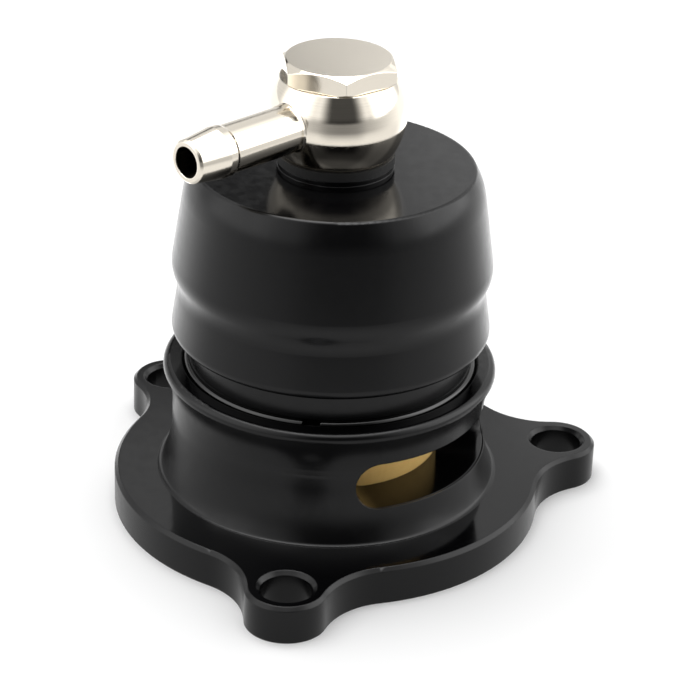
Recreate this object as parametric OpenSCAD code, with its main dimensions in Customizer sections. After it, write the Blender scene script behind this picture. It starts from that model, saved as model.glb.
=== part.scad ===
// Blow off valve: a bolted base flange with a vented skirt, a sleeve with a screwed-on cap,
// a sprung brass piston and a banjo hose fitting. All sizes are millimetres.
// The origin is the centre of the flange's underside, and +Z runs up the valve's axis.

/* [Flange disc] */
// Radius of the flange disc
flange_r = 29; // [27:0.5:31]
// Thickness of the flange disc
flange_t = 5.15; // [4.5:0.05:6]
// Chamfer along the top edge of the flange
flange_edge = 0.5; // [0.2:0.1:1]

/* [Lugs] */
// Directions of the three lugs around the axis
lug_angles = [-97.7, 15, 134]; // [-180:0.1:180]
// Distance of the bolt holes from the axis
lug_pitch_r = 33.1; // [32:0.1:36]
// Radius of the round end of a lug
lug_r = 5.4; // [4.9:0.1:6]
// Fillet radius between a lug and the disc
lug_fillet = 10; // [6:0.5:14]
// Radius of a bolt hole
bolt_hole_r = 3.4; // [2.2:0.1:3.6]
// Chamfer at the top of a bolt hole
bolt_hole_edge = 0.55; // [0.2:0.05:0.9]

/* [Skirt] */
// How far the waist of the skirt stands out past the sleeve
waist_out = 2.1; // [1.7:0.1:3]
// Height of the middle of the waist above the underside
waist_z = 12.5; // [11.5:0.1:14]
// Radius of the hollow between the waist and the flange
foot_arc = 8; // [6:0.5:12]
// How far that hollow stands out past the waist where it meets the flange
foot_out = 1.65; // [1.2:0.05:2.2]
// Radius of the hollow under the lip
flare_arc = 9.5; // [7:0.5:12]
// How far the lip stands out past the waist
lip_out = 1.28; // [1:0.02:1.8]
// Radius of the lip's round nose
lip_round = 0.88; // [0.5:0.02:1.2]
// Height of the rim above the middle of the waist
rim_rise = 8.8; // [8.4:0.1:10]
// Chamfer on the inner edge of the rim
rim_edge = 0.35; // [0.2:0.05:0.5]

/* [Vent slot] */
// Direction of the first round end of the slot
slot_from = -79; // [-90:1:-60]
// Direction of the second round end of the slot
slot_to = 12; // [5:1:60]
// Height of the slot
slot_h = 6.5; // [5:0.1:6.8]
// Height of the slot's middle above the waist
slot_up = 0.25; // [-0.4:0.05:0.4]

/* [Inlet] */
// Width of the seat from the middle of the nose's seal in to the inlet
seat_land = 1.5; // [1.2:0.1:2.5]
// Height of the valve seat above the underside
seat_z = 4; // [3:0.1:4.4]

/* [Piston] */
// Overlap of the band above the slot
band_lap = 0.9; // [0.5:0.1:1.5]
// How far the band runs on below the slot, out of sight of an eye that looks down into it
band_drop = 2.3; // [1.6:0.1:2.5]
// Step from the polished band in to the guide above it
guide_step = 1.2; // [1:0.1:1.6]
// Height of the guide above the band
guide_h = 10.8; // [9:0.1:13]
// Step from the polished band in to the flat nose
nose_step = 0.9; // [0.5:0.1:1.4]
// Chamfer around the nose
nose_edge = 0.4; // [0.2:0.1:0.6]
// Wall of the guide around the cup that takes the spring
guide_wall = 2.6; // [2.4:0.1:3]
// Thickness of the piston's floor
floor_t = 3.7; // [3:0.1:5]
// Lift of the piston from its seat to its stop
piston_lift = 5.5; // [4:0.1:6.5]

/* [Sleeve] */
// Outer radius of the sleeve, which shows as the neck below the cap
sleeve_r = 19; // [17:0.05:21]
// Wall of the sleeve around the piston's band
sleeve_wall = 4; // [3.6:0.05:4.4]
// Depth of the collar that takes the sleeve
collar_depth = 4.7; // [4.4:0.1:4.9]
// Height of the neck between rim and cap
neck_h = 4.27; // [3:0.01:6]
// Length of the sleeve inside the cap
cap_grip = 8; // [6.5:0.1:9.5]
// Chamfer on the ends of the sleeve
sleeve_edge = 0.4; // [0.2:0.1:0.6]

/* [Cap] */
// Height of the cap
cap_h = 23.85; // [22.5:0.01:26]
// How far the lower band stands out past the sleeve, at its sharp bottom corner
cap_out = 2.46; // [2.3:0.02:3.5]
// Taper of both bands in degrees
cap_taper = 8.4; // [6:0.1:10]
// How far the upper band stands out past the lower one
cap_step = 1.36; // [0.8:0.01:2]
// Height of the middle of the step above the cap's bottom
cap_step_z = 8.45; // [7:0.05:10]
// Radius of the two curves that make the step
cap_blend = 4.1; // [3:0.1:8]
// Rounding of the cap's bottom edge
cap_edge = 1.2; // [0.6:0.1:1.4]
// Height above the cap's bottom at which the shoulder starts
shoulder_z = 19.85; // [19:0.05:21.5]
// Radius of the shoulder
shoulder_r = 9.9; // [7:0.1:12]
// Rounding between the shoulder and the flat top
top_edge = 0.5; // [0.2:0.05:0.8]
// Thickness of the roof
roof_t = 4.57; // [4:0.01:5.5]
// Ledge that stops the cap on the end of the sleeve
chamber_ledge = 2; // [1.2:0.1:2.6]
// Radius of the boss under the hose fitting
boss_r = 7.6; // [7:0.1:8.5]
// Height of that boss
boss_h = 0.7; // [0.4:0.05:1.5]

/* [Hose fitting] */
// Radius of the ball
ball_r = 9.1; // [8.5:0.1:10]
// Height of the ball's middle above its lower flat
ball_below = 5.3; // [4.8:0.05:5.6]
// Height of the ball's upper flat above its middle
ball_above = 5.05; // [4.8:0.05:5.6]
// Depth of the ring channel inside the ball
channel_depth = 1.3; // [0.8:0.1:1.6]
// Height of the ring channel inside the ball
channel_h = 5; // [4.2:0.1:5.4]
// Direction in which the barb points
barb_angle = -135.5; // [-180:0.5:180]
// Distance of the barb's tip from the valve's axis
barb_reach = 25.7; // [23:0.1:32]
// Length of the cone behind the tip
barb_cone = 4.6; // [4:0.1:7]
// Length of the cylindrical land behind the cone
barb_land = 1; // [0.8:0.1:2]
// Length of the step behind the land
barb_back = 0.5; // [0.2:0.1:0.8]
// Radius of the land
barb_r = 3.4; // [3.2:0.05:4]
// Radius of the tip
tip_r = 2.85; // [2.6:0.05:3]
// Rounding of the tip
tip_edge = 0.3; // [0.1:0.05:0.35]
// Radius of the stem
stem_r = 3.2; // [2.6:0.05:3.3]
// Fillet at the root of the stem
stem_fillet = 0.9; // [0.6:0.1:1.8]
// Radius of the drilling through the barb
barb_bore_r = 2.05; // [1.2:0.05:2.1]

/* [Hollow bolt] */
// Width of the hexagon across its flats
hex_af = 14; // [13:0.5:15]
// Height of the head
head_h = 2.5; // [2:0.05:4]
// Radius of the chamfer circle on the head
head_top_r = 6.85; // [6:0.05:6.9]
// Radius of the chamfer circle under the head
head_under_r = 7.5; // [7.2:0.05:8]
// Slope of both chamfers in degrees
head_slope = 30; // [20:1:35]
// Direction of one corner of the hexagon
hex_angle = -82; // [-90:1:-30]
// Radius of the shank
shank_r = 4.9; // [4.4:0.1:5]
// Depth to which the shank is screwed into the cap
shank_grip = 6.9; // [6:0.1:7.2]
// Radius of the drilling along the bolt
bolt_bore_r = 2; // [1.2:0.1:2.4]
// Radius of the cross drilling in the bolt
cross_r = 1.25; // [0.8:0.05:1.6]

/* [Washer, ring and seals] */
// Radius of the washer under the ball
washer_r = 7.7; // [7.2:0.1:8.5]
// Thickness of that washer
washer_t = 1.2; // [0.8:0.05:2]
// Wire diameter of the snap ring
ring_wire = 1.2; // [0.8:0.1:1.4]
// Depth of the snap ring's middle below the rim
ring_depth = 0.2; // [0.1:0.05:0.3]
// Direction of the snap ring's split
split_angle = -96; // [-180:1:180]
// Gap between the ends of the snap ring
ring_split = 2.4; // [1.5:0.1:6]
// Height of the sleeve's seal above the collar's floor
body_seal_up = 1.1; // [0.9:0.1:1.2]
// Cord diameter of the seal between sleeve and flange
body_cord = 1.4; // [1:0.1:1.5]
// Cord diameter of the seal between cap and sleeve
cap_cord = 1.6; // [1.2:0.1:2]
// Depth of that seal below the top of the sleeve
cap_seal_down = 3.2; // [2.4:0.1:4.5]
// Cord diameter of the piston's seal
piston_cord = 1.6; // [1.2:0.1:2]
// Depth of that seal below the top of the piston
piston_seal_down = 2.4; // [1.8:0.1:3.5]
// Depth of the middle of the nose's seal inside the edge of the nose
seat_seal_in = 1.5; // [1.3:0.1:1.8]
// Cord diameter of the seal in the nose
seat_cord = 1.5; // [1.2:0.1:1.7]
// Cord diameter of the seal under the bolt's head
bolt_cord = 1.2; // [1:0.1:1.4]
// Middle radius of the seal in the underside
flange_seal_r = 25; // [24:0.5:26.5]
// Cord diameter of the seal in the underside
flange_cord = 2; // [1.6:0.1:2.6]

/* [Return spring] */
// Wire diameter of the spring
spring_wire = 1.6; // [1.2:0.1:1.8]
// Room between the coil and the wall of the cup
spring_side = 1; // [0.6:0.1:1.4]
// Number of turns, with one closed turn at each end
spring_turns = 7; // [5:1:8]
// Room between the coil and the pilot in the roof that centres it
pilot_side = 0.4; // [0.3:0.1:1.5]
// Height of the pilot
pilot_h = 1.8; // [1:0.1:2.4]

/* [Clearances] */
// Radial running clearance of the band in its bore
band_fit = 0.1; // [0.05:0.01:0.15]
// Radial running clearance of the guide in the sleeve
guide_fit = 0.08; // [0.05:0.01:0.1]
// Radial clearance of screwed and plugged joints
joint_fit = 0.05; // [0.02:0.01:0.1]
// Gap between faces that are clamped together
face_gap = 0.05; // [0.02:0.01:0.1]
// Gap between a seal and the walls of its groove
seal_gap = 0.03; // [0.02:0.01:0.08]
// Gap between the nose and its seat, which the seal in the nose bridges
nose_gap = 0.3; // [0.2:0.05:0.5]
// Room left above the piston's shoulder at full lift
stop_gap = 0.25; // [0.2:0.05:0.5]

/* [Hidden] */

$fn = 96;
// How far a cut runs past the face that it starts from
cut = 1;
// How far a fillet's foot runs into the ball
sink = 0.15;

anodised = [0.09, 0.09, 0.10];
brass = [0.80, 0.66, 0.38];
nickel = [0.82, 0.79, 0.74];
rubber = [0.05, 0.05, 0.05];
steel = [0.62, 0.63, 0.65];

// Radii that follow the sleeve
bore_r = sleeve_r - sleeve_wall;
collar_r = sleeve_r + joint_fit;
waist_r = sleeve_r + waist_out;
lip_r = waist_r + lip_out;
cap_r = sleeve_r + cap_out;
cap_bore_r = sleeve_r + joint_fit;
chamber_r = sleeve_r - chamber_ledge;
band_r = bore_r - band_fit;
nose_r = band_r - nose_step;
seat_seal_r = nose_r - seat_seal_in;
inlet_r = seat_seal_r - seat_land;
guide_r = band_r - guide_step;
guide_bore_r = guide_r + guide_fit;
cup_r = guide_r - guide_wall;
spring_r = cup_r - spring_side - spring_wire / 2;
pilot_r = spring_r - spring_wire / 2 - pilot_side;

// Heights of the collar and the slot
rim_z = waist_z + rim_rise;
collar_z = rim_z - collar_depth;
slot_z = waist_z + slot_up;

// Arcs of the skirt: the foot ends on the flange, and the flare meets the round nose smoothly
foot_z = flange_t + sqrt(pow(foot_arc, 2) - pow(foot_arc - foot_out, 2));
foot_centre = [waist_r + foot_arc, foot_z];
lip_centre = [lip_r - lip_round, rim_z - lip_round];
flare_x = waist_r + flare_arc;
flare_z = lip_centre.y - sqrt(pow(flare_arc + lip_round, 2) - pow(flare_x - lip_centre.x, 2));
flare_centre = [flare_x, flare_z];

// Heights of the piston and the sleeve
nose_z = seat_z + nose_gap;
band_z0 = slot_z - slot_h / 2 - band_drop;
band_z1 = slot_z + slot_h / 2 + band_lap;
guide_z1 = band_z1 + guide_h;
cup_z = nose_z + floor_t;
stop_z = band_z1 + piston_lift + stop_gap;
cap_z = rim_z + neck_h;
sleeve_z0 = collar_z + face_gap;
sleeve_z1 = cap_z + cap_grip;

// Heights of the cap and what stands on it
cap_top = cap_z + cap_h;
roof_z = cap_top - roof_t;
boss_z = cap_top + boss_h;
washer_z = boss_z + face_gap;
ball_flat_z0 = washer_z + washer_t + face_gap;
ball_z = ball_flat_z0 + ball_below;
ball_flat_z1 = ball_z + ball_above;
head_z = ball_flat_z1 + face_gap;
shank_z = boss_z - shank_grip;
shank_hole_r = shank_r + joint_fit;

// Places of the seals
body_seal_z = collar_z + body_seal_up;
body_seal_r = sleeve_r + seal_gap + body_cord / 2;
ring_z = rim_z - ring_depth;
ring_r = (sleeve_r + collar_r) / 2;
ring_out = ring_r + ring_wire / 2 + seal_gap;
cap_seal_z = sleeve_z1 - cap_seal_down;
cap_seal_r = cap_bore_r - seal_gap - cap_cord / 2;
piston_seal_z = guide_z1 - piston_seal_down;
piston_seal_r = guide_bore_r - guide_fit / 2 - piston_cord / 2;
seat_seal_z = seat_z + face_gap + seat_cord / 2;
bolt_seal_r = shank_hole_r + seal_gap + bolt_cord / 2;
bolt_seal_z = head_z - seal_gap - bolt_cord / 2;
flange_seal_z = seal_gap + flange_cord / 2;

// Groove around a seal, drawn as a section: half of its width and its depth hold the cord
module groove(r, z, cord) {
    half = cord / 2 + seal_gap;
    translate([r - half, z - half])
        square(2 * half);
}

module seal(r, z, cord) {
    rotate_extrude()
        translate([r, z])
            circle(d = cord, $fn = 32);
}

// Disc whose top edge is chamfered
module edged_disc(r) {
    cylinder(r = r, h = flange_t - flange_edge);
    translate([0, 0, flange_t - flange_edge])
        cylinder(r1 = r, r2 = r - flange_edge, h = flange_edge);
}

// Round cut whose top edge is chamfered outwards
module edged_hole(r, edge) {
    translate([0, 0, -cut])
        cylinder(r = r, h = flange_t + 2 * cut);
    translate([0, 0, flange_t - edge])
        cylinder(r1 = r, r2 = r + edge + cut, h = edge + cut);
}

// One lug along +X, blended into the disc by a fillet on each side
module lug() {
    reach = flange_r + lug_fillet;
    side = lug_r + lug_fillet;
    swing = acos((pow(lug_pitch_r, 2) + pow(reach, 2) - pow(side, 2)) / (2 * lug_pitch_r * reach));
    fillets = [for (s = [-1, 1]) reach * [cos(swing), s * sin(swing)]];
    translate([lug_pitch_r, 0, 0])
        edged_disc(lug_r);
    difference() {
        linear_extrude(flange_t)
            polygon([[0, 0], fillets[0], [lug_pitch_r, 0], fillets[1]]);
        for (p = fillets)
            translate(p)
                edged_hole(lug_fillet, flange_edge);
    }
}

// Section of the skirt: a hollow foot, a straight waist, a flare and a round-nosed lip
module skirt_section() {
    difference() {
        square([waist_r + foot_arc / 2, foot_z]);
        translate(foot_centre)
            circle(foot_arc);
    }
    square([waist_r, lip_centre.y]);
    difference() {
        polygon([[0, flare_z], flare_centre, lip_centre, [lip_centre.x, rim_z], [0, rim_z]]);
        translate(flare_centre)
            circle(flare_arc);
    }
    translate(lip_centre)
        circle(lip_round);
}

// Section of everything that is turned out of the flange from inside and below
module flange_bores() {
    translate([0, -cut])
        square([inlet_r, seat_z + 2 * cut]);
    translate([0, seat_z])
        square([bore_r, collar_z - seat_z + cut]);
    translate([0, collar_z])
        square([collar_r, collar_depth + cut]);
    polygon([[0, rim_z - rim_edge], [ring_out, rim_z - rim_edge], [ring_out + rim_edge + cut, rim_z + cut],
        [0, rim_z + cut]]);
    groove(body_seal_r, body_seal_z, body_cord);
    groove(ring_r, ring_z, ring_wire);
    translate([0, -cut])
        groove_mouth();
    groove(flange_seal_r, flange_seal_z, flange_cord);
}

// The underside groove is open below
module groove_mouth() {
    half = flange_cord / 2 + seal_gap;
    translate([flange_seal_r - half, 0])
        square([2 * half, cut + flange_seal_z]);
}

// Long vent slot with full round ends, cut through one side of the skirt
module vent_slot() {
    reach = lip_r + foot_out;
    inset = asin(slot_h / 2 / waist_r);
    first = slot_from + inset;
    last = slot_to - inset;
    steps = 6;
    translate([0, 0, slot_z - slot_h / 2])
        linear_extrude(slot_h)
            polygon([
                [0, 0],
                for (i = [0:steps]) reach * [cos(first + (last - first) * i / steps),
                    sin(first + (last - first) * i / steps)]
            ]);
    for (a = [first, last])
        translate([0, 0, slot_z])
            rotate([0, 90, a])
                cylinder(d = slot_h, h = reach);
}

module base_flange() {
    color(anodised)
        difference() {
            union() {
                edged_disc(flange_r);
                for (a = lug_angles)
                    rotate(a)
                        lug();
                rotate_extrude()
                    skirt_section();
            }
            rotate_extrude()
                flange_bores();
            vent_slot();
            for (a = lug_angles)
                rotate(a)
                    translate([lug_pitch_r, 0, 0])
                        edged_hole(bolt_hole_r, bolt_hole_edge);
        }
}

module valve_body() {
    color(anodised)
        rotate_extrude()
            difference() {
                polygon([
                    [bore_r, sleeve_z0], [sleeve_r - sleeve_edge, sleeve_z0],
                    [sleeve_r, sleeve_z0 + sleeve_edge], [sleeve_r, sleeve_z1 - sleeve_edge],
                    [sleeve_r - sleeve_edge, sleeve_z1], [guide_bore_r + sleeve_edge, sleeve_z1],
                    [guide_bore_r, sleeve_z1 - sleeve_edge], [guide_bore_r, stop_z], [bore_r, stop_z]
                ]);
                groove(ring_r, ring_z, ring_wire);
                groove(cap_seal_r, cap_seal_z, cap_cord);
            }
}

// Point of the cap's section, given along its tapered side and out from it
function on_taper(along, out) =
    [out * cos(cap_taper) - along * sin(cap_taper), out * sin(cap_taper) + along * cos(cap_taper)];

// Outer section of the cap, from its bottom edge to its roof
module cap_section() {
    low = cap_r * cos(cap_taper);
    high = low + cap_step;
    step_x = (low + cap_step / 2 - cap_step_z * sin(cap_taper)) / cos(cap_taper);
    middle = cap_step_z * cos(cap_taper) - step_x * sin(cap_taper);
    half_run = sqrt(cap_step * (4 * cap_blend - cap_step)) / 2;
    edge_x = (low - cap_edge - cap_edge * sin(cap_taper)) / cos(cap_taper);
    edge_centre = [edge_x, cap_edge];
    shoulder_x = (high - shoulder_z * sin(cap_taper)) / cos(cap_taper);
    shoulder_start = [shoulder_x, shoulder_z];
    shoulder_centre = shoulder_start - on_taper(0, shoulder_r);
    rise = cap_h - top_edge - shoulder_centre.y;
    run = sqrt(pow(shoulder_r - top_edge, 2) - pow(rise, 2));
    top_centre = shoulder_centre + [run, rise];
    shoulder_end = shoulder_centre + [run, rise] * shoulder_r / (shoulder_r - top_edge);
    difference() {
        union() {
            polygon([
                [0, 0], [edge_x, 0], edge_centre, edge_centre + on_taper(0, cap_edge),
                on_taper(middle - half_run, low), on_taper(middle, low + cap_step / 2),
                on_taper(middle + half_run, high), shoulder_start, shoulder_end, top_centre,
                [top_centre.x, cap_h], [0, cap_h]
            ]);
            translate(edge_centre)
                circle(cap_edge);
            translate(on_taper(middle + half_run, high - cap_blend))
                circle(cap_blend);
            intersection() {
                translate(shoulder_centre)
                    circle(shoulder_r);
                polygon([shoulder_centre, shoulder_start, [shoulder_start.x, shoulder_end.y], shoulder_end]);
            }
            translate(top_centre)
                circle(top_edge);
            square([boss_r, cap_h + boss_h]);
        }
        translate(on_taper(middle - half_run, low + cap_blend))
            circle(cap_blend);
    }
}

module cap() {
    color(anodised)
        rotate_extrude()
            difference() {
                translate([0, cap_z])
                    cap_section();
                translate([0, cap_z - cut])
                    square([cap_bore_r, cap_grip + face_gap + cut]);
                polygon([[0, cap_z - cut], [cap_bore_r + sleeve_edge + cut, cap_z - cut],
                    [cap_bore_r, cap_z + sleeve_edge], [0, cap_z + sleeve_edge]]);
                difference() {
                    translate([0, sleeve_z1])
                        square([chamber_r, roof_z - sleeve_z1]);
                    translate([0, roof_z - pilot_h])
                        square([pilot_r, pilot_h]);
                }
                translate([0, sleeve_z1])
                    square([shank_hole_r, boss_z - sleeve_z1 + cut]);
            }
}

module piston() {
    color(brass)
        rotate_extrude()
            difference() {
                polygon([
                    [0, nose_z], [nose_r - nose_edge, nose_z], [nose_r, nose_z + nose_edge],
                    [band_r, band_z0], [band_r, band_z1], [guide_r, band_z1],
                    [guide_r, guide_z1 - nose_edge], [guide_r - nose_edge, guide_z1],
                    [cup_r, guide_z1], [cup_r, cup_z], [0, cup_z]
                ]);
                groove(piston_seal_r, piston_seal_z, piston_cord);
                groove(seat_seal_r, seat_seal_z, seat_cord);
            }
}

module piston_seal() {
    color(rubber)
        seal(piston_seal_r, piston_seal_z, piston_cord);
}

module seat_seal() {
    color(rubber)
        seal(seat_seal_r, seat_seal_z, seat_cord);
}

module cap_seal() {
    color(rubber)
        seal(cap_seal_r, cap_seal_z, cap_cord);
}

module body_seal() {
    color(rubber)
        seal(body_seal_r, body_seal_z, body_cord);
}

module flange_seal() {
    color(rubber)
        seal(flange_seal_r, flange_seal_z, flange_cord);
}

module bolt_seal() {
    color(rubber)
        seal(bolt_seal_r, bolt_seal_z, bolt_cord);
}

// Round-wire snap ring with a split
module retaining_ring() {
    color(steel)
        difference() {
            seal(ring_r, ring_z, ring_wire);
            rotate(split_angle)
                translate([ring_r, 0, ring_z])
                    cube([4 * ring_wire, ring_split, 2 * ring_wire], center = true);
        }
}

module cap_washer() {
    color(rubber)
        translate([0, 0, washer_z])
            difference() {
                cylinder(r = washer_r, h = washer_t);
                translate([0, 0, -cut])
                    cylinder(r = shank_hole_r, h = washer_t + 2 * cut);
            }
}

// Section of the stem and barb, from the ball's middle out to the tip
module barb_section() {
    cone_start = barb_reach - barb_cone;
    land_start = cone_start - barb_land;
    root = sqrt(pow(ball_r, 2) - pow(stem_r + stem_fillet, 2)) - sink;
    polygon([
        [0, 0], [stem_r, 0], [stem_r, land_start - barb_back], [barb_r, land_start], [barb_r, cone_start],
        [tip_r, barb_reach - tip_edge], [tip_r - tip_edge, barb_reach], [0, barb_reach]
    ]);
    difference() {
        square([stem_r + stem_fillet, root + stem_fillet]);
        translate([stem_r + stem_fillet, root + stem_fillet])
            circle(stem_fillet);
    }
}

module banjo_fitting() {
    color(nickel)
        translate([0, 0, ball_z])
            difference() {
                union() {
                    intersection() {
                        sphere(ball_r);
                        translate([0, 0, -ball_below])
                            cylinder(r = ball_r + cut, h = ball_below + ball_above);
                    }
                    rotate([0, 90, barb_angle])
                        rotate_extrude()
                            barb_section();
                }
                rotate_extrude()
                    ball_bores();
                rotate([0, 90, barb_angle])
                    cylinder(r = barb_bore_r, h = barb_reach + cut);
            }
}

// Section of the bore, the ring channel and the seal's recess in the ball
module ball_bores() {
    translate([0, -ball_below - cut])
        square([shank_hole_r, ball_below + ball_above + 2 * cut]);
    translate([0, -channel_h / 2])
        square([shank_hole_r + channel_depth, channel_h]);
    translate([0, bolt_seal_z - ball_z])
        square([bolt_seal_r + bolt_cord / 2 + seal_gap, bolt_cord + cut]);
    translate([0, -ball_z])
        groove(bolt_seal_r, bolt_seal_z, bolt_cord);
}

// Hexagon head with a chamfer circle on both faces, on a drilled shank
module banjo_bolt() {
    corner_r = hex_af / 2 / cos(30);
    spread = head_h / tan(head_slope);
    color(nickel)
        difference() {
            union() {
                translate([0, 0, head_z])
                    intersection() {
                        rotate(hex_angle)
                            cylinder(r = corner_r, h = head_h, $fn = 6);
                        cylinder(r1 = head_top_r + spread, r2 = head_top_r, h = head_h);
                        cylinder(r1 = head_under_r, r2 = head_under_r + spread, h = head_h);
                    }
                translate([0, 0, shank_z])
                    cylinder(r = shank_r, h = head_z - shank_z);
            }
            translate([0, 0, shank_z - cut])
                cylinder(r = bolt_bore_r, h = ball_z - shank_z + cut + cross_r);
            translate([0, 0, ball_z])
                rotate([0, 90, 0])
                    cylinder(r = cross_r, h = 2 * shank_r + 2 * cut, center = true);
        }
}

// Height of the spring's wire above its lower end after a number of turns
function wire_rise(turns) =
    let (
        height = roof_z - cup_z - 2 * face_gap - spring_wire,
        open_pitch = (height - 2 * spring_wire) / (spring_turns - 2)
    )
    turns < 1 ? turns * spring_wire
    : turns < spring_turns - 1 ? spring_wire + (turns - 1) * open_pitch
    : height - (spring_turns - turns) * spring_wire;

// One ring of points around the wire, square to the coil
function wire_ring(turns, sides) =
    let (
        a = 360 * turns,
        step = 0.02,
        slope = atan2(wire_rise(turns + step) - wire_rise(turns - step), 4 * PI * spring_r * step),
        out = [cos(a), sin(a), 0],
        across = [sin(a) * sin(slope), -cos(a) * sin(slope), cos(slope)],
        centre = spring_r * out + [0, 0, cup_z + face_gap + spring_wire / 2 + wire_rise(turns)]
    )
    [for (k = [0:sides - 1])
        centre + spring_wire / 2 * (cos(360 * k / sides) * out + sin(360 * k / sides) * across)];

module return_spring() {
    sides = 8;
    per_turn = 24;
    rings = spring_turns * per_turn;
    points = [for (i = [0:rings]) each wire_ring(i / per_turn, sides)];
    walls = [for (i = [0:rings - 1], k = [0:sides - 1])
        let (next = (k + 1) % sides)
        [i * sides + k, (i + 1) * sides + k, (i + 1) * sides + next, i * sides + next]];
    start = [for (k = [0:sides - 1]) k];
    end = [for (k = [sides - 1:-1:0]) rings * sides + k];
    color(steel)
        polyhedron(points, concat([start], walls, [end]), convexity = 8);
}

base_flange();
valve_body();
cap();
piston();
return_spring();
piston_seal();
seat_seal();
cap_seal();
body_seal();
flange_seal();
retaining_ring();
cap_washer();
banjo_fitting();
banjo_bolt();
bolt_seal();
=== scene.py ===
import math

import bmesh
import bpy
from mathutils import Matrix, Vector


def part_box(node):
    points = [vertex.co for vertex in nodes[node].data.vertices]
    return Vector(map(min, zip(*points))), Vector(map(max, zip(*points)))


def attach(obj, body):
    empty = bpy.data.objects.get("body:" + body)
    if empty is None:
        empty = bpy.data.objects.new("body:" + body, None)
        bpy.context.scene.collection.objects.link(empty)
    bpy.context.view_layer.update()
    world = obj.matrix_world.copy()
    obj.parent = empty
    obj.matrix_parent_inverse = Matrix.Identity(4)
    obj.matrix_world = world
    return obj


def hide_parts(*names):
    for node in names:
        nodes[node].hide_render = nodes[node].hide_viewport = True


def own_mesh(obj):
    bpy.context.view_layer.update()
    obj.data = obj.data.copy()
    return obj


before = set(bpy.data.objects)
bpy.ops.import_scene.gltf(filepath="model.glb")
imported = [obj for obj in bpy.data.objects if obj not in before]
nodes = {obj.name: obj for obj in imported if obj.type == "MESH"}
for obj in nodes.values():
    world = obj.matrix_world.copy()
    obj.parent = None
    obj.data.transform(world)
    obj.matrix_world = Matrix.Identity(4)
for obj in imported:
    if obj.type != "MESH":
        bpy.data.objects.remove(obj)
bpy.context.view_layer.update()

# Camera, in metres, degrees and millimetres of focal length
CAMERA_TARGET = Vector((0.001527, 0.0, 0.02366))
CAMERA_DISTANCE = 0.3762
CAMERA_ELEVATION = 26.85
CAMERA_ROLL = 1.9
CAMERA_LENS = 147.58
CAMERA_NEAR = 0.01
SENSOR_WIDTH = 36.0

# Colours of the finishes and of the studio
ANODISED = (0.0018, 0.0018, 0.0021, 1.0)
NICKEL = (0.80, 0.74, 0.64, 1.0)
BRASS = (0.80, 0.58, 0.23, 1.0)
STEEL = (0.56, 0.57, 0.58, 1.0)
BLACK_STEEL = (0.05, 0.05, 0.05, 1.0)
RUBBER = (0.012, 0.012, 0.012, 1.0)
FLOOR = (0.86, 0.86, 0.86, 1.0)
WHITE = (1.0, 1.0, 1.0, 1.0)

# Pieces of each finish
ANODISED_NODES = ("base_flange", "valve_body")
SATIN_TOP_NODES = ("cap",)
NICKEL_NODES = ("banjo_fitting", "banjo_bolt")
BRASS_NODES = ("piston",)
STEEL_NODES = ("return_spring",)
BLACK_STEEL_NODES = ("retaining_ring",)
RUBBER_NODES = (
    "piston_seal", "seat_seal", "cap_seal", "body_seal", "flange_seal", "bolt_seal", "cap_washer",
)

# Lathe lines: how much finer they are on flat faces, their height in metres, and how they darken the colour
LINES_ACROSS = 1.37
LINES_HEIGHT = 0.00002
LINES_DETAIL = 3.0
LINES_SPAN = (0.25, 0.75)
LINES_DARK = 0.8
LINES_TINT = 0.35

# Gloss: cloudiness, samples of a broken edge, upward part of a flat top's normal, plain shine, refraction
CLOUD_DETAIL = 4.0
CLOUD_SPAN = (0.3, 0.7)
EDGE_SAMPLES = 6
FLAT_TOP_SPAN = (0.97, 0.995)
PLAIN_SHINE = 0.5
PLAIN_IOR = 1.5
ANODISED_IOR = 1.33

# Rubber: grain in marks per metre, its height in metres and the roughness that goes with it
GRAIN_SCALE = 2600.0
GRAIN_DETAIL = 3.0
GRAIN_HEIGHT = 0.00003
GRAIN_STRENGTH = 0.25
RUBBER_SMOOTH = 0.48
RUBBER_ROUGH = 0.62

# Return spring, in metres and turns, with the sides of its wire and the steps of one turn
SPRING_WIRE = 0.0016
SPRING_TURNS = 7
SPRING_SIDES = 20
SPRING_STEPS = 64

# Skirt of the flange, in metres and degrees: the fuller sweep of its foot and the slot that cuts it
SKIRT_WAIST = 0.0211
SKIRT_FOOT = 0.02275
SWEEP_ARC = 0.018
SWEEP_TOP = 0.0150
FLANGE_TOP = 0.00515
FOOT_FILLET = 0.0004
SLOT_MIDDLE = 0.01275
SLOT_HALF = 0.00325
SLOT_FROM = -79.0
SLOT_TO = 12.0

# Skin that makes the sweep, in metres: above SINK it leans into the solid, and ROOT stands in the flange
SKIN_SINK = 0.0144
SKIN_LEAN = 0.1
SKIN_LIFT = 0.00002
SKIN_WELD = SKIN_LIFT / 4
SKIN_DEPTH = 0.0004
SKIN_ROOT = SKIN_DEPTH / 4
SKIN_ROWS = 14
SKIN_COLUMNS = 180
SLOT_COLUMNS = SKIN_COLUMNS // 3

# Light tent: 1 is white, RISE spans are degrees of height, TURN spans are cosines of bearing to the opening
TENT_BACK = 1.42
TENT_FRONT = 0.38
TENT_TURN = (-0.34, 1.0)
TENT_HIGH = 1.2
TENT_RISE = (0.0, 12.0)

# Opening of the tent: its bearing, to the right of the camera's, and its half widths are in degrees
OPENING_SIDE = 10.0
OPENING_CORE = 18.0
OPENING_EDGE = 42.0
OPENING_DARK = 0.94
OPENING_FOOT_RISE = (-2.0, 4.0)
OPENING_TOP_RISE = (44.0, 56.0)

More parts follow.
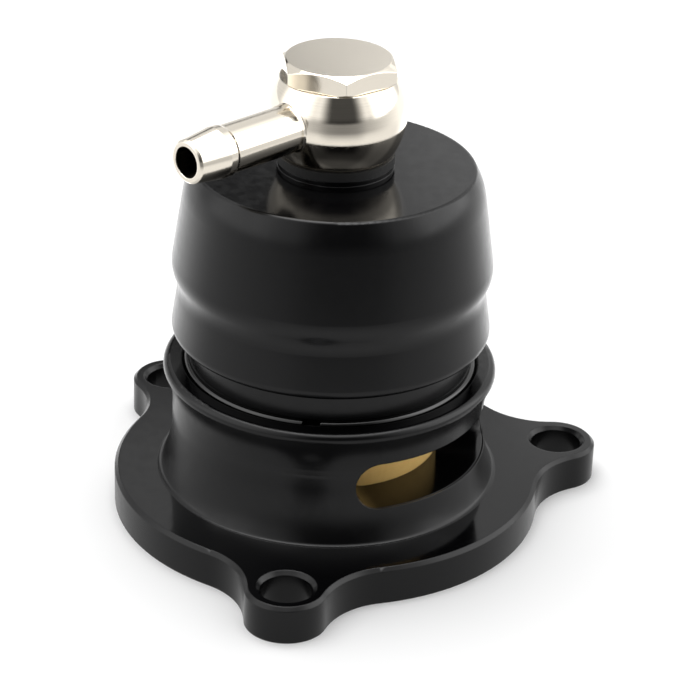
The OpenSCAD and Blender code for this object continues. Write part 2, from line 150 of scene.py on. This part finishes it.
# Dark seam in the rear wall, sloped by TILT within SIDE of the middle, with a dimmer roof and wall around
SEAM_TILT = 1.2
SEAM_SIDE = 0.07
SEAM_DARK = 0.97
SEAM_RISE = (22.0, 24.0)
SEAM_TURN = (-0.85, -0.6)
ROOF_SHARE = 0.36
ROOF_RISE = (26.5, 29.0)
WALL_DARK = 0.36
WALL_RISE = (21.4, 22.2)
WALL_TURN = (-0.6, -0.4)

# Light boxes at the two sides, the left one blending into the right over BOX_SIDES, and light overhead
LEFT_BOX = 1.0
RIGHT_BOX = 2.2
BOX_SIDES = (-0.3, 0.3)
BOX_RISE = (0.0, 4.0)
BOX_REAR_TURN = (-0.5, -0.25)
BOX_FRONT_TURN = (0.35, 0.7)
OVERHEAD = 2.4
OVERHEAD_RISE = (58.0, 68.0)

# Floor as the camera sees it, half its width in metres
FLOOR_HALF = 3.0
FLOOR_LIFT = 0.03

# Floor as the gloss sees it, with a painted shadow near the object: REACH spans are metres from the object
FLOOR_PAINTED_SHADOW = 0.75
FLOOR_NEAR_REACH = (0.03, 0.06)
FLOOR_REAR = 1.9
FLOOR_FRONT = 1.1
FLOOR_TURN = (-0.7, -0.1)
FLOOR_FAR_REACH = (0.12, 0.27)
FLOOR_GAP = 0.3
FLOOR_GAP_REACH = (0.08, 0.18)

# Panel above the object, in metres and watts
TOP_PANEL = Vector((-0.12, 0.18, 0.78))
TOP_PANEL_SIZE = 0.60
TOP_PANEL_POWER = 3.6


class Tree:
    """Short way to add nodes and links to one node tree."""

    def __init__(self, tree):
        self.tree = tree
        self.tree.nodes.clear()

    def put(self, socket, value):
        """Link an output to a socket, or set a constant on it."""
        if isinstance(value, bpy.types.NodeSocket):
            self.tree.links.new(value, socket)
        else:
            socket.default_value = value

    def add(self, kind, settings=None, **inputs):
        """New node with settings, and with inputs by the names of their sockets."""
        node = self.tree.nodes.new(kind)
        for name, value in (settings or {}).items():
            setattr(node, name, value)
        for name, value in inputs.items():
            self.put(node.inputs[name.replace("_", " ")], value)
        return node

    def add_in_order(self, kind, settings, *values):
        """New node with settings, and with values on its first inputs."""
        node = self.add(kind, settings)
        for socket, value in zip(node.inputs, values):
            self.put(socket, value)
        return node

    def math(self, operation, *values):
        return self.add_in_order("ShaderNodeMath", {"operation": operation}, *values).outputs["Value"]

    def vector_math(self, operation, *values):
        return self.add_in_order("ShaderNodeVectorMath", {"operation": operation}, *values)

    def mix(self, share, shader, other):
        return self.add_in_order("ShaderNodeMixShader", {}, share, shader, other).outputs["Shader"]

    def ramp(self, value, span, to_low, to_high, smooth=True):
        """Value that goes from to_low to to_high over a span, and stays there outside it."""
        low, high = span
        kind = "SMOOTHSTEP" if smooth else "LINEAR"
        node = self.add("ShaderNodeMapRange", {"interpolation_type": kind}, Value=value,
                        From_Min=low, From_Max=high, To_Min=to_low, To_Max=to_high)
        return node.outputs["Result"]


def new_material(name):
    material = bpy.data.materials.new(name)
    material.use_nodes = True
    return material, Tree(material.node_tree)


def add_object(name, data):
    added = bpy.data.objects.new(name, data)
    bpy.context.scene.collection.objects.link(added)
    return added


def lathe_lines(tree, place, scale):
    """Fine lines of a lathe cut: one above the other on a side wall, one inside the other on a flat face."""
    split = tree.add("ShaderNodeSeparateXYZ", Vector=place)
    squares = tree.math("ADD", tree.math("POWER", split.outputs["X"], 2.0),
                        tree.math("POWER", split.outputs["Y"], 2.0))
    radius = tree.math("SQRT", squares)
    along = tree.math("ADD", tree.math("MULTIPLY", radius, LINES_ACROSS), split.outputs["Z"])
    lines = tree.add("ShaderNodeTexNoise", {"noise_dimensions": "1D"}, W=along, Scale=scale,
                     Detail=LINES_DETAIL)
    return lines.outputs["Fac"]


def finish_material(name, colour, metallic, rough, rough_spread, lines_scale, lines_depth, grain, edge,
                    ior=PLAIN_IOR, top_rough=0.0, top_shine=PLAIN_SHINE):
    """Machined finish: lathe lines, cloudy gloss and broken edges. Flat tops are top_rough rougher."""
    material, tree = new_material(name)
    place = tree.add("ShaderNodeTexCoord")
    lines = lathe_lines(tree, place.outputs["Object"], lines_scale)
    rounded = tree.add("ShaderNodeBevel", {"samples": EDGE_SAMPLES}, Radius=edge)
    bump = tree.add("ShaderNodeBump", Strength=lines_depth, Distance=LINES_HEIGHT, Height=lines,
                    Normal=rounded.outputs["Normal"])
    cloud = tree.add("ShaderNodeTexNoise", Vector=place.outputs["Object"], Scale=grain, Detail=CLOUD_DETAIL)
    clouded = tree.ramp(cloud.outputs["Fac"], CLOUD_SPAN, rough - rough_spread, rough + rough_spread)
    facing = tree.add("ShaderNodeSeparateXYZ", Vector=place.outputs["Normal"])
    rough_value = tree.math("ADD", clouded, tree.ramp(facing.outputs["Z"], FLAT_TOP_SPAN, 0.0, top_rough))
    shine = PLAIN_SHINE
    if top_shine != PLAIN_SHINE:
        shine = tree.ramp(facing.outputs["Z"], FLAT_TOP_SPAN, PLAIN_SHINE, top_shine)
    tint = tree.add("ShaderNodeMixRGB", {"blend_type": "MULTIPLY"}, Fac=LINES_TINT, Color1=colour,
                    Color2=tree.ramp(lines, LINES_SPAN, LINES_DARK, 1.0))
    surface = tree.add("ShaderNodeBsdfPrincipled", Base_Color=tint.outputs["Color"], Metallic=metallic,
                       Roughness=rough_value, IOR=ior, Specular_IOR_Level=shine,
                       Normal=bump.outputs["Normal"])
    tree.add("ShaderNodeOutputMaterial", Surface=surface.outputs["BSDF"])
    return material


def anodised_material(name, top_rough, top_shine=PLAIN_SHINE):
    """Black anodised aluminium, with flat tops that are smoother than the turned sides."""
    return finish_material(name, ANODISED, metallic=0.0, rough=0.25, rough_spread=0.02, lines_scale=9000.0,
                           lines_depth=0.04, grain=700.0, edge=0.0002, ior=ANODISED_IOR, top_rough=top_rough,
                           top_shine=top_shine)


def nickel_material():
    """Bright nickel plate, with a duller top on the hexagon."""
    return finish_material("nickel_plate", NICKEL, metallic=1.0, rough=0.09, rough_spread=0.02,
                           lines_scale=12000.0, lines_depth=0.08, grain=900.0, edge=0.0002, top_rough=0.1)


def brass_material():
    """Turned brass with a soft shine."""
    return finish_material("polished_brass", BRASS, metallic=1.0, rough=0.75, rough_spread=0.05,
                           lines_scale=14000.0, lines_depth=0.3, grain=900.0, edge=0.0001)


def wire_material(name, colour, rough, rough_spread):
    """Drawn steel wire."""
    return finish_material(name, colour, metallic=1.0, rough=rough, rough_spread=rough_spread,
                           lines_scale=6000.0, lines_depth=0.1, grain=1500.0, edge=0.00005)


def rubber_material():
    """Moulded rubber with a fine matt grain."""
    material, tree = new_material("black_rubber")
    place = tree.add("ShaderNodeTexCoord")
    grain = tree.add("ShaderNodeTexNoise", Vector=place.outputs["Object"], Scale=GRAIN_SCALE,
                     Detail=GRAIN_DETAIL)
    bump = tree.add("ShaderNodeBump", Strength=GRAIN_STRENGTH, Distance=GRAIN_HEIGHT,
                    Height=grain.outputs["Fac"])
    rough_value = tree.ramp(grain.outputs["Fac"], CLOUD_SPAN, RUBBER_SMOOTH, RUBBER_ROUGH)
    surface = tree.add("ShaderNodeBsdfPrincipled", Base_Color=RUBBER, Roughness=rough_value,
                       Normal=bump.outputs["Normal"])
    tree.add("ShaderNodeOutputMaterial", Surface=surface.outputs["BSDF"])
    return material


def dress(names, material):
    for name in names:
        mesh = nodes[name].data
        mesh.materials.clear()
        mesh.materials.append(material)


def wire_height(turns, height):
    """Height of the wire above the spring's lower end: one closed turn at each end, the rest evenly open."""
    if turns < 1:
        return turns * SPRING_WIRE
    if turns > SPRING_TURNS - 1:
        return height - (SPRING_TURNS - turns) * SPRING_WIRE
    open_pitch = (height - 2 * SPRING_WIRE) / (SPRING_TURNS - 2)
    return SPRING_WIRE + (turns - 1) * open_pitch


def wire_ring(turns, coil, foot, height):
    """Points around one section of the wire."""
    angle = math.tau * turns
    out = Vector((math.cos(angle), math.sin(angle), 0.0))
    centre = coil * out
    centre.z = foot + SPRING_WIRE / 2 + wire_height(turns, height)
    ring = []
    for k in range(SPRING_SIDES):
        around = math.tau * k / SPRING_SIDES
        side = math.cos(around) * out + math.sin(around) * Vector((0.0, 0.0, 1.0))
        ring.append(centre + SPRING_WIRE / 2 * side)
    return ring


def wire_faces(count):
    """Faces between the sections of the wire, and one face on each of its ends."""
    faces = []
    for here in range(0, count * SPRING_SIDES, SPRING_SIDES):
        ahead = here + SPRING_SIDES
        for k in range(SPRING_SIDES):
            step = (k + 1) % SPRING_SIDES
            faces.append((here + k, ahead + k, ahead + step, here + step))
    faces.append(tuple(range(SPRING_SIDES)))
    faces.append(tuple(count * SPRING_SIDES + k for k in reversed(range(SPRING_SIDES))))
    return faces


def smooth_spring():
    """Round wire that stands for the coarser CAD spring."""
    low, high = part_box("return_spring")
    coil = (high.x - low.x) / 2 - SPRING_WIRE / 2
    height = high.z - low.z - SPRING_WIRE
    count = SPRING_TURNS * SPRING_STEPS
    points = []
    for i in range(count + 1):
        points += wire_ring(i / SPRING_STEPS, coil, low.z, height)
    faces = wire_faces(count)
    mesh = bpy.data.meshes.new("return_spring_round")
    mesh.from_pydata(points, [], faces)
    mesh.polygons.foreach_set("use_smooth", [True] * len(faces))
    mesh.update()
    mesh.materials.append(nodes["return_spring"].data.materials[0])
    spring = add_object("return_spring_round", mesh)
    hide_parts("return_spring")
    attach(spring, "housing")
    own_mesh(spring)


def spread(start, end, count):
    """Evenly spaced values from start to end, both of them included."""
    return [start + (end - start) * i / count for i in range(count + 1)]


def sweep_radius(z):
    """Radius of the skin: a long arc below the waist, a small fillet at its foot, a lean inwards on top."""
    out = SKIRT_FOOT - SKIRT_WAIST
    start = FLANGE_TOP + math.sqrt(SWEEP_ARC ** 2 - (SWEEP_ARC - out) ** 2)
    below = max(start - z, 0.0)
    arc = SWEEP_ARC - math.sqrt(SWEEP_ARC ** 2 - below ** 2)
    under = FOOT_FILLET - min(max(z - FLANGE_TOP, 0.0), FOOT_FILLET)
    fillet = FOOT_FILLET - math.sqrt(FOOT_FILLET ** 2 - under ** 2)
    sunk = SKIN_LEAN * max(z - SKIN_SINK, 0.0)
    return SKIRT_WAIST + SKIN_LIFT + arc + fillet - sunk


def slot_end(z):
    """Angle by which the slot's round end reaches past the end of its straight edges at a height."""
    across = SLOT_HALF ** 2 - (z - SLOT_MIDDLE) ** 2
    return math.asin(math.sqrt(max(across, 0.0)) / sweep_radius(z))


def skin_heights():
    """Heights of the skin's rows: those that run all the way round below the slot, and those beside it."""
    fillet_turns = spread(0.0, math.pi / 2, SKIN_ROWS)[:-1]
    fillet = [FLANGE_TOP + FOOT_FILLET * (1 - math.cos(turn)) for turn in fillet_turns]
    arc = spread(FLANGE_TOP + FOOT_FILLET, SLOT_MIDDLE - SLOT_HALF, SKIN_ROWS)
    top_turn = math.acos((SLOT_MIDDLE - SWEEP_TOP) / SLOT_HALF)
    slot_turns = spread(0.0, top_turn, 2 * SKIN_ROWS)[1:]
    beside_slot = [SLOT_MIDDLE - SLOT_HALF * math.cos(turn) for turn in slot_turns]
    return [FLANGE_TOP - SKIN_ROOT] + fillet + arc, beside_slot


def skin_grid(shape, heights, first, last, columns):
    """Strip of the skin between two angles that may change with the height."""
    rows = []
    for z in heights:
        radius = sweep_radius(z)
        angles = spread(first(z), last(z), columns)
        rows.append([shape.verts.new((radius * math.cos(a), radius * math.sin(a), z)) for a in angles])
    for low, high in zip(rows, rows[1:]):
        for k in range(columns):
            shape.faces.new((low[k], low[k + 1], high[k + 1], high[k]))


def skirt_sweep():
    """Fuller foot of the skirt, seated on the CAD flange and open where the vent slot is."""
    inset = math.asin(SLOT_HALF / SKIRT_WAIST)
    slot_first = math.radians(SLOT_FROM) + inset
    slot_last = math.radians(SLOT_TO) - inset
    under_slot, beside_slot = skin_heights()
    shape = bmesh.new()
    skin_grid(shape, under_slot + beside_slot, lambda z: slot_last + slot_end(z),
              lambda z: slot_first - slot_end(z) + math.tau, SKIN_COLUMNS)
    skin_grid(shape, under_slot, lambda z: slot_first, lambda z: slot_last, SLOT_COLUMNS)
    bmesh.ops.remove_doubles(shape, verts=shape.verts, dist=SKIN_WELD)
    for face in shape.faces:
        face.smooth = True
    for edge in shape.edges:
        edge.smooth = not edge.is_boundary
    mesh = bpy.data.meshes.new("skirt_sweep")
    shape.to_mesh(mesh)
    shape.free()
    mesh.materials.append(nodes["base_flange"].data.materials[0])
    skin = add_object("skirt_sweep", mesh)
    wall = skin.modifiers.new("wall", "SOLIDIFY")
    wall.thickness = SKIN_DEPTH
    wall.offset = -1.0
    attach(skin, "housing")


def toward_opening(tree, vector):
    """Cosine between a direction's bearing and that of the tent's opening, which is near the camera's."""
    turn = math.radians(OPENING_SIDE)
    bearing = Vector((math.sin(turn), -math.cos(turn), 0.0))
    level = tree.vector_math("MULTIPLY", vector, (1.0, 1.0, 0.0))
    unit = tree.vector_math("NORMALIZE", level.outputs["Vector"])
    return tree.vector_math("DOT_PRODUCT", unit.outputs["Vector"], bearing).outputs["Value"]


def by_height(tree, up, degrees, to_low, to_high):
    """Ramp between two heights above the horizon, in degrees."""
    span = [math.sin(math.radians(angle)) for angle in degrees]
    return tree.ramp(up, span, to_low, to_high)


def tent_wall(tree, toward):
    """Light at the foot of the tent's wall: full at the back, falling off towards the opening."""
    return tree.ramp(toward, TENT_TURN, TENT_BACK, TENT_FRONT, smooth=False)


def in_opening(tree, toward):
    """1 at the bearing of the opening and 0 at that of the tent's walls."""
    span = [math.cos(math.radians(angle)) for angle in (OPENING_EDGE, OPENING_CORE)]
    return tree.ramp(toward, span, 0.0, 1.0)


def opening_shade(tree, toward, up):
    """Share of the tent's light that is missing in the opening."""
    foot = by_height(tree, up, OPENING_FOOT_RISE, 0.0, 1.0)
    top = by_height(tree, up, OPENING_TOP_RISE, OPENING_DARK, 0.0)
    return tree.math("MULTIPLY", in_opening(tree, toward), tree.math("MULTIPLY", foot, top))


def seam_shade(tree, toward, up, across):
    """Share of the tent's light that is missing at the rear: in the seam, above it and below it."""
    side = tree.math("MINIMUM", tree.math("MAXIMUM", across, -SEAM_SIDE), SEAM_SIDE)
    tilted = tree.math("SUBTRACT", up, tree.math("MULTIPLY", side, SEAM_TILT))
    above = by_height(tree, tilted, SEAM_RISE, 0.0, SEAM_DARK)
    roof = by_height(tree, up, ROOF_RISE, 1.0, ROOF_SHARE)
    below = by_height(tree, up, WALL_RISE, WALL_DARK, 0.0)
    shade = tree.math("MAXIMUM", below, tree.math("MULTIPLY", above, roof))
    rear = tree.ramp(toward, SEAM_TURN, 1.0, 0.0)
    behind = tree.ramp(toward, WALL_TURN, 1.0, 0.0)
    return tree.math("MAXIMUM", tree.math("MULTIPLY", rear, shade), tree.math("MULTIPLY", behind, below))


def side_boxes(tree, toward, up, across):
    """Light of the boxes at the two sides, which adds to that of the tent."""
    not_behind = tree.ramp(toward, BOX_REAR_TURN, 0.0, 1.0)
    beside = tree.math("MULTIPLY", not_behind, tree.ramp(toward, BOX_FRONT_TURN, 1.0, 0.0))
    box_light = tree.ramp(across, BOX_SIDES, LEFT_BOX, RIGHT_BOX)
    return tree.math("MULTIPLY", beside, by_height(tree, up, BOX_RISE, 0.0, box_light))


def studio_world():
    """White light tent with an opening, a seam in its rear wall, boxes at its sides and light overhead."""
    world = bpy.data.worlds.new("studio")
    world.use_nodes = True
    bpy.context.scene.world = world
    tree = Tree(world.node_tree)
    place = tree.add("ShaderNodeTexCoord")
    split = tree.add("ShaderNodeSeparateXYZ", Vector=place.outputs["Generated"])
    across = split.outputs["X"]
    up = split.outputs["Z"]
    toward = toward_opening(tree, place.outputs["Generated"])
    low = tent_wall(tree, toward)
    wall = by_height(tree, up, TENT_RISE, low, tree.math("MAXIMUM", low, TENT_HIGH))
    open_light = tree.math("SUBTRACT", 1.0, opening_shade(tree, toward, up))
    seam_light = tree.math("SUBTRACT", 1.0, seam_shade(tree, toward, up, across))
    tent = tree.math("MULTIPLY", wall, tree.math("MULTIPLY", open_light, seam_light))
    overhead = by_height(tree, up, OVERHEAD_RISE, 0.0, OVERHEAD)
    lamps = tree.math("ADD", side_boxes(tree, toward, up, across), overhead)
    light = tree.math("ADD", tent, lamps)
    # Gloss mirrors the whole light, matt surfaces get white at most, and the camera sees plain white
    path = tree.add("ShaderNodeLightPath")
    glossy = path.outputs["Is Glossy Ray"]
    mirrored = tree.math("MULTIPLY", light, glossy)
    diffuse = tree.math("MULTIPLY", tree.math("MINIMUM", light, 1.0), tree.math("SUBTRACT", 1.0, glossy))
    seen = tree.math("MAXIMUM", path.outputs["Is Camera Ray"], diffuse)
    sky = tree.add("ShaderNodeBackground", Color=WHITE, Strength=tree.math("MAXIMUM", seen, mirrored))
    tree.add("ShaderNodeOutputWorld", Surface=sky.outputs["Background"])


def mirrored_floor(tree, place):
    """What the gloss sees of the floor: dimmed by the object with a painted shadow, bright around it, like
    the tent far out.
    """
    distance = tree.vector_math("LENGTH", place).outputs["Value"]
    toward = toward_opening(tree, place)
    bright = tree.ramp(toward, FLOOR_TURN, FLOOR_REAR, FLOOR_FRONT)
    # Painted shadow: in reflections the floor is dimmer close to the object
    near = tree.ramp(distance, FLOOR_NEAR_REACH, FLOOR_PAINTED_SHADOW, bright)
    floor = tree.ramp(distance, FLOOR_FAR_REACH, near, tent_wall(tree, toward))
    far = tree.ramp(distance, FLOOR_GAP_REACH, 0.0, FLOOR_GAP)
    gap = tree.math("MULTIPLY", in_opening(tree, toward), far)
    return tree.math("MULTIPLY", floor, tree.math("SUBTRACT", 1.0, gap))


def floor_material():
    """Pale paper, a little lifted for the camera, with its own brightness in reflections, which holds a
    painted shadow by the object.
    """
    material, tree = new_material("floor")
    path = tree.add("ShaderNodeLightPath")
    place = tree.add("ShaderNodeTexCoord")
    paper = tree.add("ShaderNodeBsdfDiffuse", Color=FLOOR).outputs["BSDF"]
    lift = tree.add("ShaderNodeEmission", Strength=FLOOR_LIFT).outputs["Emission"]
    lifted = tree.add_in_order("ShaderNodeAddShader", {}, paper, lift).outputs["Shader"]
    mirrored = tree.add("ShaderNodeEmission", Strength=mirrored_floor(tree, place.outputs["Object"]))
    to_camera = tree.mix(path.outputs["Is Camera Ray"], paper, lifted)
    to_gloss = tree.mix(path.outputs["Is Glossy Ray"], to_camera, mirrored.outputs["Emission"])
    tree.add("ShaderNodeOutputMaterial", Surface=to_gloss)
    return material


def studio_floor():
    """Pale floor that stays white around the object and keeps its soft shadow."""
    corners = [(x * FLOOR_HALF, y * FLOOR_HALF, 0.0) for x, y in ((-1, -1), (1, -1), (1, 1), (-1, 1))]
    mesh = bpy.data.meshes.new("floor")
    mesh.from_pydata(corners, [], [(0, 1, 2, 3)])
    mesh.materials.append(floor_material())
    floor = add_object("floor", mesh)


def top_panel():
    """Soft panel above the object, aimed at its foot and out of the camera's sight."""
    lamp = bpy.data.lights.new("top_panel", "AREA")
    lamp.shape = "SQUARE"
    lamp.size = TOP_PANEL_SIZE
    lamp.energy = TOP_PANEL_POWER
    panel = add_object("top_panel", lamp)
    panel.location = TOP_PANEL
    panel.rotation_euler = (-TOP_PANEL).to_track_quat("-Z", "Y").to_euler()
    panel.visible_camera = False


def studio_camera():
    """Camera at the photograph's view, in front of the object and a little rolled."""
    data = bpy.data.cameras.new("camera")
    data.sensor_width = SENSOR_WIDTH
    data.lens = CAMERA_LENS
    data.clip_start = CAMERA_NEAR
    camera = add_object("camera", data)
    tilt = Matrix.Rotation(math.radians(90.0 - CAMERA_ELEVATION), 4, "X")
    roll = Matrix.Rotation(math.radians(CAMERA_ROLL), 4, "Z")
    turn = tilt @ roll
    place = CAMERA_TARGET + turn.to_3x3() @ Vector((0, 0, CAMERA_DISTANCE))
    camera.matrix_world = Matrix.Translation(place) @ turn
    bpy.context.scene.camera = camera


dress(ANODISED_NODES, anodised_material("black_anodised", top_rough=-0.15))
dress(SATIN_TOP_NODES, anodised_material("black_anodised_satin_top", top_rough=-0.1, top_shine=0.36))
dress(NICKEL_NODES, nickel_material())
dress(BRASS_NODES, brass_material())
dress(STEEL_NODES, wire_material("spring_steel", STEEL, rough=0.3, rough_spread=0.05))
dress(BLACK_STEEL_NODES, wire_material("black_steel", BLACK_STEEL, rough=0.2, rough_spread=0.04))
dress(RUBBER_NODES, rubber_material())

smooth_spring()
skirt_sweep()
studio_world()
studio_floor()
top_panel()
studio_camera()
bpy.context.scene.view_settings.view_transform = "Standard"
